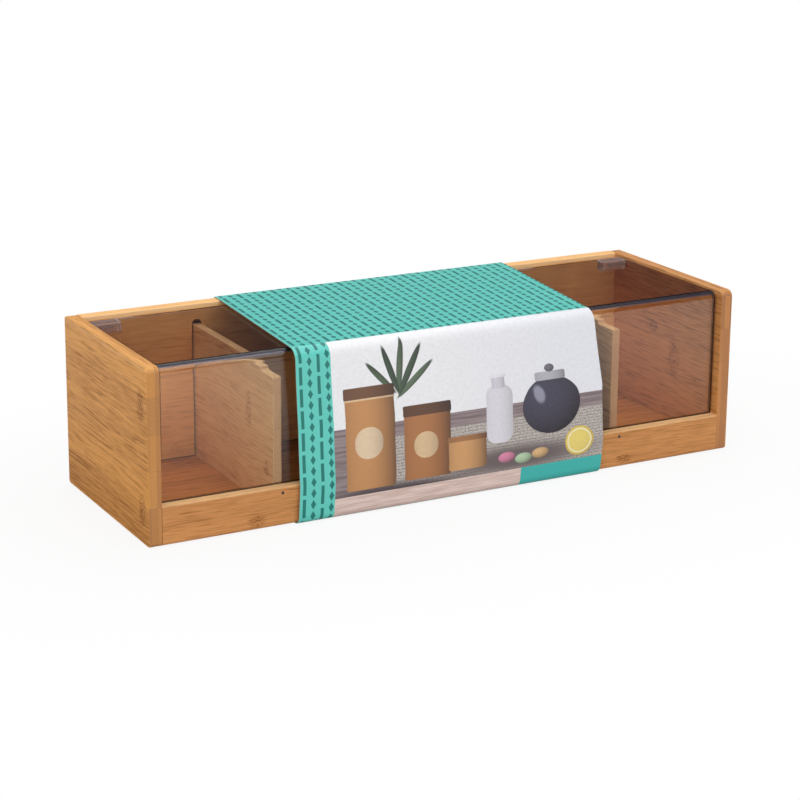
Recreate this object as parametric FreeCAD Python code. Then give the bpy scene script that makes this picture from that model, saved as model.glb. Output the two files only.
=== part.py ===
import FreeCAD, Part
import math
import os
from FreeCAD import Vector

# A long bamboo tea bag box. Two end panels cover the ends of a back panel and a low front rail,
# a base panel sits in grooves, and four dividers make five compartments. A smoked acrylic lid,
# bent down at the front, turns on two pins at its rear corners. A printed card sleeve is wrapped
# round the middle. Millimetres; X runs along the box, the front faces -Y, and z = 0 is the
# underside of the sleeve, which is what the box stands on.

# ---- box ----
box_length = 370.0          # over the two end panels
box_depth = 120.0           # front to rear
box_height = 97.5
end_thickness = 7.5
back_thickness = 7.5
rail_thickness = 7.5
rail_height = 21.8
base_thickness = 5.0
base_lift = 1.8             # underside of the base above the underside of the end panels
groove_depth = 2.5          # of the base grooves and of the divider grooves
groove_end_gap = 0.1        # between a board's edge and the bottom of its groove
groove_top_gap = 0.3        # above the base, in its groove

# ---- rounding of the boards ----
front_top_round = 4.0       # end panels, seen from the side
rear_top_round = 2.0
bottom_round = 2.0          # boards' outer lower edges
arris = 0.5                 # rubbed-down edges of the boards
back_top_round = 0.8
rail_top_round = 1.3

# ---- dividers ----
compartments = 5
divider_thickness = 5.0
divider_top = 83.4          # above the underside of the box
divider_step = 2.0          # radius of the cove, and so the drop of the front shoulder
shoulder_length = 13.8      # flat shoulder in front of the cove
divider_corner = 1.3
divider_arris = 0.4
divider_side_gap = 0.1      # right of each divider, in the back panel's groove
divider_slack = 0.9         # left of it, because the groove is cut a size wider

# ---- brads and dowels ----
brad_radius = 0.6
brad_head_radius = 0.9
brad_head_thickness = 0.7
brad_length = 20.0
brad_sink = 0.15            # head below the rail's front face
brad_drop = 3.3             # below the top of the rail
dowel_radius = 2.0
dowel_in_end = 4.0
dowel_in_board = 8.0
peg_gap = 0.02              # round a brad or dowel, in its hole
dowel_edge_distance = 18.0  # from the top and bottom of the back panel

# ---- lid ----
lid_thickness = 2.5
lid_drop = 1.0              # top of the lid below the tops of the end panels
lid_rear_gap = 7.0          # to the back panel
lid_recess = 4.5            # front plate behind the front of the box
lid_end_gap = 1.2
lid_rail_gap = 0.3
lid_bend_radius = 5.0
lid_arris = 0.25

# ---- hinge ----
hinge_block_length = 16.0
hinge_block_depth = 7.0
hinge_block_height = 6.0
hinge_block_round = 1.8
hinge_block_inset = 0.6     # block's end in from the lid's end
pin_radius = 1.0
pin_forward = 4.2           # pin axis in front of the lid's rear edge
pin_below_lid = 2.6         # pin axis below the underside of the lid
pin_grip = 12.0             # length fixed in the block
pin_reach = 4.8             # length in the end panel
pin_end_gap = 0.2
pin_running_gap = 0.05
pin_fixed_gap = 0.01

# ---- card sleeve ----
card = 0.45
sleeve_gap = 0.25           # between the card and the tops and backs of the end panels
sleeve_front_gap = 2.55     # widest gap in front of the end panels
front_bend = 6.0            # outer radius of the upper front fold
low_bend = 4.45             # outer radius of the lower front fold
rear_bend = 1.2             # outer radius of the rear folds
front_hollow = 600.0        # radius of the front's inward bow
crease_start = 1.9          # crease of the top, from here behind the pin axis
crease_end = 9.2            # to here
low_split_angle = 35.0      # where the loop parts on the lower fold, from straight down
low_split_gap = 0.3
# left and right edges of the sleeve at its folds: it sits slightly askew on the box
edge_rear_top = (-94.0, 98.0)
edge_front_top = (-102.0, 85.0)
edge_front_middle = (-99.3, 94.0)
edge_front_low = (-98.5, 95.5)
edge_bottom = (-100.0, 93.0)
edge_rear_bottom = (-96.0, 97.0)
front_middle_height = 54.0  # above z = 0
front_low_height = 20.0

# ---- places worked out from the sizes ----
floor_z = card                          # underside of the end panels
top_z = floor_z + box_height
end_x = box_length / 2
inner_x = end_x - end_thickness
front_y = -box_depth / 2
rear_y = box_depth / 2
rail_back_y = front_y + rail_thickness
back_inner_y = rear_y - back_thickness
base_low = floor_z + base_lift
base_top = base_low + base_thickness
rail_top = floor_z + rail_height
shelf_top = floor_z + divider_top
compartment_width = (2 * inner_x - (compartments - 1) * divider_thickness) / compartments
divider_pitch = compartment_width + divider_thickness
divider_x = [divider_pitch * (i - (compartments - 2) / 2) for i in range(compartments - 1)]
brad_z = rail_top - brad_drop
lid_top = top_z - lid_drop
lid_under = lid_top - lid_thickness
lid_rear_y = back_inner_y - lid_rear_gap
lid_front_y = front_y + lid_recess
lid_end_x = inner_x - lid_end_gap
pin_y = lid_rear_y - pin_forward
pin_z = lid_under - pin_below_lid
block_outer_x = lid_end_x - hinge_block_inset
sleeve_top = top_z + sleeve_gap + card
sleeve_rear_y = rear_y + sleeve_gap + card
crease_front_y = pin_y + crease_start
crease_rear_y = pin_y + crease_end
far = 2 * box_length                    # longer than anything here, for cutting tools


def block(x0, x1, y0, y1, z0, z1):
    """A box between two opposite corners."""
    return Part.makeBox(x1 - x0, y1 - y0, z1 - z0, Vector(x0, y0, z0))


def rod(radius, x0, x1, y, z):
    """A round rod along X."""
    return Part.makeCylinder(radius, x1 - x0, Vector(x0, y, z), Vector(1, 0, 0))


def rounded(shape, radius, chosen):
    """The shape with a fillet on each edge that the test picks."""
    return shape.makeFillet(radius, [edge for edge in shape.Edges if chosen(edge)])


def runs_along_x(edge):
    box = edge.BoundBox
    return box.YLength < 1e-6 and box.ZLength < 1e-6


def lies_across_x(edge):
    return edge.BoundBox.XLength < 1e-6


def near(value, target):
    return abs(value - target) < 1e-4


def extruded(edges, x0, x1):
    """A prism along X on a closed outline drawn in the plane X = 0."""
    face = Part.Face(Part.Wire(edges))
    face.translate(Vector(x0, 0, 0))
    return face.extrude(Vector(x1 - x0, 0, 0))


def at(y, z):
    return Vector(0, y, z)


def line(a, b):
    return Part.makeLine(a, b)


def on_circle(centre, radius, angle):
    """The point of a circle at an angle from +Y towards +Z, in degrees."""
    turn = math.radians(angle)
    return at(centre.y + radius * math.cos(turn), centre.z + radius * math.sin(turn))


def arc(centre, radius, start, end):
    """An arc from one angle to the other."""
    ends = [on_circle(centre, radius, angle) for angle in (start, (start + end) / 2, end)]
    return Part.Arc(*ends).toShape()


# ---- boards ----
def end_panel(side):
    """An end board: side is -1 for the left one and 1 for the right one."""
    x0, x1 = sorted((side * inner_x, side * end_x))
    board = block(x0, x1, front_y, rear_y, floor_z, top_z)
    corners = {(front_y, top_z): front_top_round, (rear_y, top_z): rear_top_round,
               (front_y, floor_z): bottom_round, (rear_y, floor_z): bottom_round}
    for (y, z), radius in corners.items():
        board = rounded(board, radius, lambda e: runs_along_x(e)
                        and near(e.CenterOfMass.y, y) and near(e.CenterOfMass.z, z))
    board = rounded(board, arris, lies_across_x)
    groove = block(-inner_x - groove_depth, inner_x + groove_depth,
                   rail_back_y - groove_depth, back_inner_y + groove_depth,
                   base_low, base_top + groove_top_gap)
    hole_end = inner_x + pin_reach + pin_end_gap
    hole = rod(pin_radius + pin_running_gap, -hole_end, hole_end, pin_y, pin_z)
    return board.cut([groove, hole] + dowels(side, peg_gap))


def back_panel():
    board = block(-inner_x, inner_x, back_inner_y, rear_y, floor_z, top_z)
    board = rounded(board, back_top_round, lambda e: runs_along_x(e) and near(e.CenterOfMass.z, top_z))
    board = rounded(board, bottom_round, lambda e: runs_along_x(e) and near(e.CenterOfMass.z, floor_z)
                    and near(e.CenterOfMass.y, rear_y))
    cuts = [block(-far, far, back_inner_y - 1, back_inner_y + groove_depth,
                  base_low, base_top + groove_top_gap)]
    width = divider_thickness + divider_slack + divider_side_gap
    for x in divider_x:
        right = x + divider_thickness / 2 + divider_side_gap
        cuts.append(block(right - width, right, back_inner_y - 1,
                          back_inner_y + groove_depth, base_top, shelf_top))
        cuts.append(Part.makeCylinder(width / 2, groove_depth + 1,
                                      Vector(right - width / 2, back_inner_y - 1, shelf_top), Vector(0, 1, 0)))
    for side in (-1, 1):
        cuts += dowels(side, peg_gap)
    return board.cut(cuts)


def front_rail():
    board = block(-inner_x, inner_x, front_y, rail_back_y, floor_z, rail_top)
    board = rounded(board, rail_top_round, lambda e: runs_along_x(e) and near(e.CenterOfMass.z, rail_top))
    board = rounded(board, bottom_round, lambda e: runs_along_x(e)
                    and near(e.CenterOfMass.z, floor_z) and near(e.CenterOfMass.y, front_y))
    cuts = [block(-far, far, rail_back_y - groove_depth, rail_back_y + 1,
                  base_low, base_top + groove_top_gap)]
    for side in (-1, 1):
        cuts += dowels(side, peg_gap)
    return board.cut(cuts + brads(peg_gap))


def base_panel():
    tongue = groove_depth - groove_end_gap
    return block(-inner_x - tongue, inner_x + tongue, rail_back_y - tongue,
                 back_inner_y + tongue, base_low, base_top)


def divider(x):
    """A compartment wall: its rear edge is in the back panel, its front top corner is stepped."""
    rear = back_inner_y + groove_depth - groove_end_gap
    shoulder = shelf_top - divider_step
    cove_foot = rail_back_y + shoulder_length
    cove_centre = at(cove_foot, shelf_top)
    corner_centre = at(rail_back_y + divider_corner, shoulder - divider_corner)
    outline = [
        line(at(rail_back_y, base_top), at(rear, base_top)),
        line(at(rear, base_top), at(rear, shelf_top)),
        line(at(rear, shelf_top), at(cove_foot + divider_step, shelf_top)),
        arc(cove_centre, divider_step, 0, -90),
        line(at(cove_foot, shoulder), at(rail_back_y + divider_corner, shoulder)),
        arc(corner_centre, divider_corner, 90, 180),
        line(at(rail_back_y, shoulder - divider_corner), at(rail_back_y, base_top)),
    ]
    wall = extruded(outline, x - divider_thickness / 2, x + divider_thickness / 2)
    wall = rounded(wall, divider_arris, lambda e: lies_across_x(e) and e.CenterOfMass.z > rail_top
                   and e.CenterOfMass.y < rear - 1e-4)
    return wall.cut(brads(peg_gap))


def brads(gap):
    """One brad for each divider, through the rail; gap widens them for their holes."""
    pieces = []
    head_y = front_y if gap else front_y + brad_sink
    for x in divider_x:
        start = Vector(x, head_y, brad_z)
        length = front_y + brad_sink + brad_length + gap - head_y
        shank = Part.makeCylinder(brad_radius + gap, length, start, Vector(0, 1, 0))
        head_length = front_y + brad_sink + brad_head_thickness - head_y
        head = Part.makeCylinder(brad_head_radius + gap, head_length, start, Vector(0, 1, 0))
        pieces.append(shank.fuse(head).removeSplitter())
    return pieces


def dowels(side, gap):
    """The pegs of one corner pair; gap widens and lengthens them for their holes."""
    x0, x1 = sorted((side * (inner_x - dowel_in_board - gap), side * (inner_x + dowel_in_end + gap)))
    back_y = rear_y - back_thickness / 2
    rail_y = front_y + rail_thickness / 2
    low = base_top + groove_top_gap
    places = [(back_y, floor_z + dowel_edge_distance), (back_y, top_z - dowel_edge_distance),
              (rail_y, (low + rail_top) / 2)]
    return [rod(dowel_radius + gap, x0, x1, y, z) for y, z in places]


# ---- lid and hinge ----
def lid_panel():
    """The acrylic sheet: top plate, bend, and front plate down to the rail."""
    outer_y, inner_y = lid_front_y, lid_front_y + lid_thickness
    bottom = rail_top + lid_rail_gap
    bend = at(lid_front_y + lid_bend_radius, lid_top - lid_bend_radius)
    inner_radius = lid_bend_radius - lid_thickness
    outline = [
        line(at(lid_rear_y, lid_top), at(bend.y, lid_top)),
        arc(bend, lid_bend_radius, 90, 180),
        line(at(outer_y, bend.z), at(outer_y, bottom)),
        line(at(outer_y, bottom), at(inner_y, bottom)),
        line(at(inner_y, bottom), at(inner_y, bend.z)),
        arc(bend, inner_radius, 180, 90),
        line(at(bend.y, lid_under), at(lid_rear_y, lid_under)),
        line(at(lid_rear_y, lid_under), at(lid_rear_y, lid_top)),
    ]
    sheet = extruded(outline, -lid_end_x, lid_end_x)
    return rounded(sheet, lid_arris, lambda e: lies_across_x(e)
                   or near(e.CenterOfMass.y, lid_rear_y) or near(e.CenterOfMass.z, bottom))


def hinge_block(side):
    """A clear block bonded under a rear corner of the lid, with its pin's hole."""
    x0, x1 = sorted((side * (block_outer_x - hinge_block_length), side * block_outer_x))
    low = lid_under - hinge_block_height
    body = block(x0, x1, lid_rear_y - hinge_block_depth, lid_rear_y, low, lid_under)
    body = rounded(body, hinge_block_round, lambda e: runs_along_x(e) and near(e.CenterOfMass.z, low))
    return body.cut(pin_rod(side, pin_radius + pin_fixed_gap, pin_end_gap))


def pin_rod(side, radius, extra):
    x0, x1 = sorted((side * (block_outer_x - pin_grip - extra), side * (inner_x + pin_reach)))
    return rod(radius, x0, x1, pin_y, pin_z)


def hinge_pin(side):
    return pin_rod(side, pin_radius, 0)


# ---- card sleeve ----
top_fold = at(front_y - sleeve_front_gap - card + front_bend, sleeve_top - front_bend)
low_fold = at(front_y - sleeve_front_gap - card + low_bend, low_bend)


def hollow_centre():
    """The centre of the inward bow, tangent to both front folds."""
    a, b = front_hollow + front_bend, front_hollow + low_bend
    across = low_fold.sub(top_fold)
    span = across.Length
    along = (a * a - b * b + span * span) / (2 * span)
    off = math.sqrt(a * a - along * along)
    unit = across.multiply(1 / span)
    return at(top_fold.y + along * unit.y + off * unit.z, top_fold.z + along * unit.z - off * unit.y)


bow = hollow_centre()


def heading(centre):
    """The angle in which the bow's centre lies, from a fold's centre."""
    return math.degrees(math.atan2(bow.z - centre.z, bow.y - centre.y)) % 360


def front_line(depth, low_angle):
    """The front part's line, a depth below the card's outer face, from the top to the lower fold."""
    top_turn, low_turn = heading(top_fold), heading(low_fold)
    return [
        line(at(crease_front_y, sleeve_top - depth), at(top_fold.y, sleeve_top - depth)),
        arc(top_fold, front_bend - depth, 90, top_turn),
        arc(bow, front_hollow + depth, top_turn - 180, low_turn - 180),
        arc(low_fold, low_bend - depth, low_turn, low_angle),
    ]


def rear_line(depth, low_angle):
    """The rear part's line, from the top, down the back and under the box to the lower fold."""
    high, back = sleeve_top - rear_bend, sleeve_rear_y - rear_bend
    radius = rear_bend - depth
    return [
        line(at(crease_rear_y, sleeve_top - depth), at(back, sleeve_top - depth)),
        arc(at(back, high), radius, 90, 0),
        line(at(sleeve_rear_y - depth, high), at(sleeve_rear_y - depth, rear_bend)),
        arc(at(back, rear_bend), radius, 0, -90),
        line(at(back, depth), at(low_fold.y, depth)),
        arc(low_fold, low_bend - depth, 270, low_angle),
    ]


def skin(make_line, low_angle):
    """A card strip between its outer and its inner line, longer than the sleeve is wide."""
    outer, inner = make_line(0, low_angle), make_line(card, low_angle)
    start = line(outer[0].firstVertex().Point, inner[0].firstVertex().Point)
    end = line(on_circle(low_fold, low_bend, low_angle), on_circle(low_fold, low_bend - card, low_angle))
    return extruded(outer + [end] + inner[::-1] + [start], -end_x, end_x)


def slab(corners, normal):
    """A thick cutting slab on a closed outline, along a normal."""
    loop = Part.makePolygon(corners + [corners[0]])
    return Part.Face(loop).extrude(normal)


def trim_top():
    """The outline of the sleeve's top in plan."""
    (rl, rr), (fl, fr) = edge_rear_top, edge_front_top
    plan = [Vector(x, y, lid_under) for x, y in ((rl, back_inner_y), (rr, back_inner_y),
                                                 (fr, top_fold.y), (fl, top_fold.y))]
    return slab(plan, Vector(0, 0, far))


def trim_front():
    """What is kept of the front part: its top, and its front seen square on."""
    rows = [(sleeve_top, edge_front_top), (front_middle_height, edge_front_middle),
            (front_low_height, edge_front_low), (0, edge_bottom)]
    face = [Vector(left, top_fold.y, z) for z, (left, _) in rows]
    face += [Vector(right, top_fold.y, z) for z, (_, right) in reversed(rows)]
    return trim_top().fuse(slab(face, Vector(0, -far, 0)))


def trim_rear():
    """What is kept of the rear part: top strip and back, and the bottom's outline in plan."""
    (tl, tr), (bl, br), (fl, fr) = edge_rear_top, edge_rear_bottom, edge_bottom
    middle, low = back_inner_y, low_fold.y
    back = [Vector(x, middle, z) for x, z in ((tl, sleeve_top), (tr, sleeve_top), (br, 0), (bl, 0))]
    plan = [(bl, middle), (br, middle), (fr, low), (fr, low - far), (fl, low - far), (fl, low)]
    under = [Vector(x, y, 0) for x, y in plan]
    return slab(back, Vector(0, far, 0)).fuse(slab(under, Vector(0, 0, rail_top))).fuse(trim_top())


def sleeve_front():
    half = math.degrees(low_split_gap / 2 / low_bend)
    return skin(front_line, 270 - low_split_angle - half).common(trim_front())


def sleeve_rear():
    half = math.degrees(low_split_gap / 2 / low_bend)
    return skin(rear_line, 270 - low_split_angle + half).common(trim_rear())


def sleeve_crease():
    """The strip of the top, over the hinge, in which the card bends when the front part lifts."""
    strip = block(-end_x, end_x, crease_front_y, crease_rear_y, sleeve_top - card, sleeve_top)
    return strip.common(trim_top())


# ---- the nodes ----
nodes = {
    "left_end_panel": end_panel(-1),
    "right_end_panel": end_panel(1),
    "back_panel": back_panel(),
    "base_panel": base_panel(),
    "front_rail": front_rail(),
    "divider_brads": Part.makeCompound(brads(0)),
    "left_dowels": Part.makeCompound(dowels(-1, 0)),
    "right_dowels": Part.makeCompound(dowels(1, 0)),
    "lid_panel": lid_panel(),
    "hinge_block_left": hinge_block(-1),
    "hinge_block_right": hinge_block(1),
    "hinge_pin_left": hinge_pin(-1),
    "hinge_pin_right": hinge_pin(1),
    "sleeve_front": sleeve_front(),
    "sleeve_crease": sleeve_crease(),
    "sleeve_rear": sleeve_rear(),
}
for number, place in enumerate(divider_x, start=1):
    nodes[f"divider_{number}"] = divider(place)

os.makedirs("parts", exist_ok=True)
for name, shape in nodes.items():
    shape.exportStep(f"parts/{name}.step")
    box = shape.BoundBox
    print(f"{name}: {len(shape.Solids)} solid(s), {shape.Volume / 1000:.2f} cm3, "
          f"X {box.XMin:.2f}..{box.XMax:.2f} Y {box.YMin:.2f}..{box.YMax:.2f} "
          f"Z {box.ZMin:.2f}..{box.ZMax:.2f}")
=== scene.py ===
# %% [markdown]
# # A bamboo tea bag box with a smoked lid and a printed card sleeve
# The box's boards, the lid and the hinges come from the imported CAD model, at their real size and
# place. This notebook gives them their finishes, bends the card sleeve from a flat strip so that
# its print can run round the folds, and sets up the floor, the lamps and the camera.

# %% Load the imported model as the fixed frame
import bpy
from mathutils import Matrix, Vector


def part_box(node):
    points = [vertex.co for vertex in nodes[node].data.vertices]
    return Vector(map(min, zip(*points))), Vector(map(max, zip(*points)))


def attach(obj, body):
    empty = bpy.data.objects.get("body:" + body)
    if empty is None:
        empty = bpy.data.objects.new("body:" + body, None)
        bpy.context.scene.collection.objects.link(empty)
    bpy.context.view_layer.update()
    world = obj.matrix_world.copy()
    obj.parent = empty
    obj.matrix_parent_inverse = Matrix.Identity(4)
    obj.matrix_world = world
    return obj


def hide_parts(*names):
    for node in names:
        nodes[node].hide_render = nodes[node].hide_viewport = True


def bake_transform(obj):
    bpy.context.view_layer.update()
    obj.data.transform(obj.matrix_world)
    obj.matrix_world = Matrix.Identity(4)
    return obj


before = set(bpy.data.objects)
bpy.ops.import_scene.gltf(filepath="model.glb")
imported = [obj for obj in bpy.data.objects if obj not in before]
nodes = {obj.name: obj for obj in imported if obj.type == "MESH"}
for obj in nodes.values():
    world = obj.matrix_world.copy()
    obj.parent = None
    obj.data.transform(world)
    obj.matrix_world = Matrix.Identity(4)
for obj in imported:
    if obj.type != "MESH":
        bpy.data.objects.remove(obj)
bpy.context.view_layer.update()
print("boards and fittings:", sorted(nodes))

# %% Modules and units
import math
import bmesh
import bpy
from mathutils import Euler, Matrix, Vector

MM = 0.001
print("one millimetre is", MM, "m in this scene")

# %% [markdown]
# ## Helpers for node trees
# Every finish below is procedural: it is worked out from the place of a point on the piece. It
# could be drawn by hand in the shader editor, but written as code it can be read, repeated and
# changed. The helpers come first, because a material then reads like a few lines of arithmetic. A
# colour is written as 0 to 255, as a paint card gives it, and is turned into the linear light that
# Blender mixes in.

# %% Colours and sizes
def tint(red, green, blue):
    """A colour given as 0 to 255, in linear light, with full alpha."""
    def linear(value):
        share = value / 255
        return share / 12.92 if share <= 0.04045 else ((share + 0.055) / 1.055) ** 2.4
    return (linear(red), linear(green), linear(blue), 1.0)


def in_mm(corners):
    """The low and the high corner of a box, in millimetres."""
    return [corner / MM for corner in corners]


print("middle grey in linear light is", round(tint(128, 128, 128)[0], 3))

# %% Arithmetic with sockets and values
def put(tree, socket, value):
    """Links a socket to another one, or sets it to a plain value."""
    if isinstance(value, bpy.types.NodeSocket):
        tree.links.new(value, socket)
    else:
        socket.default_value = value


def calc(tree, operation, *values, clamp=False):
    """One step of arithmetic. clamp keeps what comes out between 0 and 1."""
    node = tree.nodes.new("ShaderNodeMath")
    node.operation = operation
    node.use_clamp = clamp
    for socket, value in zip(node.inputs, values):
        put(tree, socket, value)
    return node.outputs[0]


def times(tree, value, *others):
    """The product of some values."""
    for other in others:
        value = calc(tree, "MULTIPLY", value, other)
    return value


def plus(tree, value, *others):
    """The sum of some values."""
    for other in others:
        value = calc(tree, "ADD", value, other)
    return value


def minus(tree, value, other):
    """One value less another."""
    return calc(tree, "SUBTRACT", value, other)


def raised(tree, start, value, factor):
    """A start, and on top of it a value times a factor."""
    return calc(tree, "MULTIPLY_ADD", value, factor, start)


def far(tree, x, y):
    """How far a place is from the middle, from its two parts."""
    return calc(tree, "SQRT", plus(tree, times(tree, x, x), times(tree, y, y)))


def off_middle(tree, value, pitch):
    """How far a value is from the middle of its cell, as a share of the cells' pitch."""
    turn = calc(tree, "FRACT", calc(tree, "DIVIDE", value, pitch))
    return calc(tree, "ABSOLUTE", minus(tree, turn, 0.5))


print("arithmetic helpers ready")

# %% Masks
def between(tree, value, low, high):
    """0 below low, 1 above high, and a smooth ramp between them. Low may be above high."""
    node = tree.nodes.new("ShaderNodeMapRange")
    node.interpolation_type = "SMOOTHSTEP"
    put(tree, node.inputs["Value"], value)
    node.inputs["From Min"].default_value = low
    node.inputs["From Max"].default_value = high
    return node.outputs["Result"]


def past(tree, value, limit, soft):
    """0 below a limit and 1 above it. The ramp reaches as far as soft to either side."""
    return between(tree, value, limit - soft, limit + soft)


def under(tree, value, limit, soft):
    """1 below a limit and 0 above it. The ramp reaches as far as soft to either side."""
    return between(tree, value, limit + soft, limit - soft)


print("mask helpers ready")

# %% Places and patterns
def here(tree, output="Object"):
    """Where a point is on the piece."""
    return tree.nodes.new("ShaderNodeTexCoord").outputs[output]


def stretch(tree, vector, scale, shift=(0, 0, 0)):
    """Scales a vector and then shifts it."""
    node = tree.nodes.new("ShaderNodeMapping")
    put(tree, node.inputs["Vector"], vector)
    node.inputs["Scale"].default_value = scale
    node.inputs["Location"].default_value = shift
    return node.outputs["Vector"]


def axes(tree, vector):
    """The three parts of a vector."""
    node = tree.nodes.new("ShaderNodeSeparateXYZ")
    put(tree, node.inputs[0], vector)
    return node.outputs


def joined(tree, x, y, z):
    """A vector from its three parts."""
    node = tree.nodes.new("ShaderNodeCombineXYZ")
    for socket, value in zip(node.inputs, (x, y, z)):
        put(tree, socket, value)
    return node.outputs[0]


def here_mm(tree):
    """Where a point is on the piece, as three parts in millimetres."""
    return axes(tree, stretch(tree, here(tree), (1 / MM, 1 / MM, 1 / MM)))


def noise(tree, vector, detail=2.0, roughness=0.5, distortion=0.0):
    """Soft noise with a grain of about one unit."""
    node = tree.nodes.new("ShaderNodeTexNoise")
    put(tree, node.inputs["Vector"], vector)
    node.inputs["Scale"].default_value = 1.0
    node.inputs["Detail"].default_value = detail
    node.inputs["Roughness"].default_value = roughness
    node.inputs["Distortion"].default_value = distortion
    return node.outputs["Fac"]


print("pattern helpers ready")

# %% Colours, groups and materials
def mixed(tree, share, first, second):
    """Two colours mixed by a share. Some of the node's sockets share a name, so they go by number."""
    node = tree.nodes.new("ShaderNodeMix")
    node.data_type = "RGBA"
    put(tree, node.inputs[0], share)
    put(tree, node.inputs[6], first)
    put(tree, node.inputs[7], second)
    return node.outputs[2]


def effect(name, inputs, outputs):
    """A new shader node group: its tree, its input sockets inside, and its output sockets."""
    tree = bpy.data.node_groups.new(name, "ShaderNodeTree")
    for label, kind, default in inputs:
        socket = tree.interface.new_socket(label, in_out="INPUT", socket_type=kind)
        if default is not None:
            socket.default_value = default
    for label, kind in outputs:
        tree.interface.new_socket(label, in_out="OUTPUT", socket_type=kind)
    return tree, tree.nodes.new("NodeGroupInput").outputs, tree.nodes.new("NodeGroupOutput").inputs


def placed(tree, group, **values):
    """What a group puts out in a tree, with its inputs linked or set. Underscores stand for spaces."""
    node = tree.nodes.new("ShaderNodeGroup")
    node.node_tree = group
    for label, value in values.items():
        put(tree, node.inputs[label.replace("_", " ")], value)
    return node.outputs


def new_finish(name):
    """A material with one Principled shader: the material, its tree and the shader's inputs."""
    material = bpy.data.materials.new(name)
    material.use_nodes = True
    tree = material.node_tree
    return material, tree, tree.nodes["Principled BSDF"].inputs


def cover(name, material):
    """Puts a finish on a piece of the CAD model."""
    for held in nodes[name].material_slots:
        held.material = material


print("material helpers ready")

# %% [markdown]
# ## Bamboo
# A bamboo board is glued up from strips about 20 mm wide and a few millimetres thick, so its
# ends show a brickwork of blocks. In each strip run fine fibres, darker where they are dense, and
# every 200 mm or so comes a node of the cane, a short patch of dark broken flecks. A picture of
# bamboo wrapped round each board would show seams at the corners. This pattern is solid instead:
# it fills space, so faces, edges and end grain all agree. It is a node group, because five boards
# and four dividers share it. It works in millimetres along the grain (X), across the strips (Y)
# and through the layers (Z).

# %% Sizes and colours of bamboo
STRIP_WIDTH = 20.0
LAYER = 3.75
CANE_NODE_PITCH = 230.0
CANE_NODE_REACH = 6.5       # how far its flecks go to either side
SLIDE = 900.0               # how far apart two strips' patterns may lie along the grain
LEAN = 0.02                 # the most that a strip's grain tilts, from one side to the other
DRIFT = 2.0                 # how far the fibres wander sideways
PALE_BAMBOO, DARK_BAMBOO = tint(228, 164, 102), tint(142, 86, 42)
# the first colour below is a painted highlight on upper edges and tops, the second is end grain
HIGHLIGHT_BAMBOO, END_BAMBOO = tint(255, 214, 160), tint(148, 104, 78)
print("strips of", STRIP_WIDTH, "by", LAYER, "mm")

# %% What the bamboo group takes in and puts out
tree, given, result = effect("bamboo", [
    ("Place", "NodeSocketVector", None), ("Light", "NodeSocketColor", PALE_BAMBOO),
    ("Dark", "NodeSocketColor", DARK_BAMBOO), ("Fibre", "NodeSocketFloat", 1.0),
    ("Cane Nodes", "NodeSocketFloat", 1.0), ("Seed", "NodeSocketFloat", 0.0),
    ("Extra Node", "NodeSocketFloat", 0.0), ("End Grain", "NodeSocketFloat", 0.0),
    ("Figure", "NodeSocketFloat", 0.0), ("Edge", "NodeSocketFloat", 0.0),
    ("Fineness", "NodeSocketFloat", 1.0), ("End", "NodeSocketColor", END_BAMBOO)],
    [("Color", "NodeSocketColor"), ("Height", "NodeSocketFloat"), ("Roughness", "NodeSocketFloat")])
along, across, through = axes(tree, given["Place"])
print("bamboo group takes", len(given) - 1, "inputs")

# %% Strips, each slid and tilted by chance
DRIFTS_ALONG, DRIFTS_APART = 0.012, 7.3     # how fast the wander changes, per mm and per strip
HILLS = (0.010, 0.019, 1)   # how fast the contours change along the grain and across it
strip = calc(tree, "FLOOR", calc(tree, "DIVIDE", across, STRIP_WIDTH))
layer = calc(tree, "FLOOR", calc(tree, "DIVIDE", through, LAYER))
chance = tree.nodes.new("ShaderNodeTexWhiteNoise")
put(tree, chance.inputs["Vector"], joined(tree, strip, layer, given["Seed"]))
pick = axes(tree, chance.outputs["Color"])
slid = raised(tree, along, pick[1], SLIDE)
# each strip tilts its grain a little, so fibres wander from the board's edge
lean = times(tree, minus(tree, pick[2], 0.5), LEAN)
wander = joined(tree, times(tree, slid, DRIFTS_ALONG), times(tree, strip, DRIFTS_APART), 0.0)
drift = times(tree, minus(tree, noise(tree, wander, 1.0), 0.5), DRIFT)
bent = plus(tree, across, times(tree, lean, along), drift)
# a flat-sawn face shows the fibres as contours, which Figure spreads out, in millimetres
hill = noise(tree, stretch(tree, joined(tree, along, across, given["Seed"]), HILLS), 1.0)
bent = raised(tree, bent, minus(tree, hill, 0.5), given["Figure"])
print("grain tilts by up to", round(math.degrees(LEAN / 2), 2), "degrees")

# %% Fibres
# grains of noise to a millimetre, along the fibres, across them and through the layers
COARSE, FINE, HAIR = (0.018, 0.55, 0.8), (0.05, 1.35, 1.5), (0.07, 2.3, 2.3)
BROAD, FLECKS, SPECKS = (0.008, 0.11, 0.3), (0.42, 0.95, 0.95), (0, 1.6, 1.6)
spot = joined(tree, slid, bent, through)
thin = joined(tree, slid, times(tree, bent, given["Fineness"]), times(tree, through, given["Fineness"]))
patch = between(tree, noise(tree, stretch(tree, spot, COARSE), 3.0, 0.6), 0.38, 0.66)
streak = between(tree, noise(tree, stretch(tree, thin, FINE), 2.0, 0.6), 0.46, 0.68)
thread = between(tree, noise(tree, stretch(tree, thin, HAIR), 1.0), 0.50, 0.70)
broad = minus(tree, noise(tree, stretch(tree, spot, BROAD), 2.0), 0.5)
print("finest fibres are about", round(1 / HAIR[1], 1), "mm wide")

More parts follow.
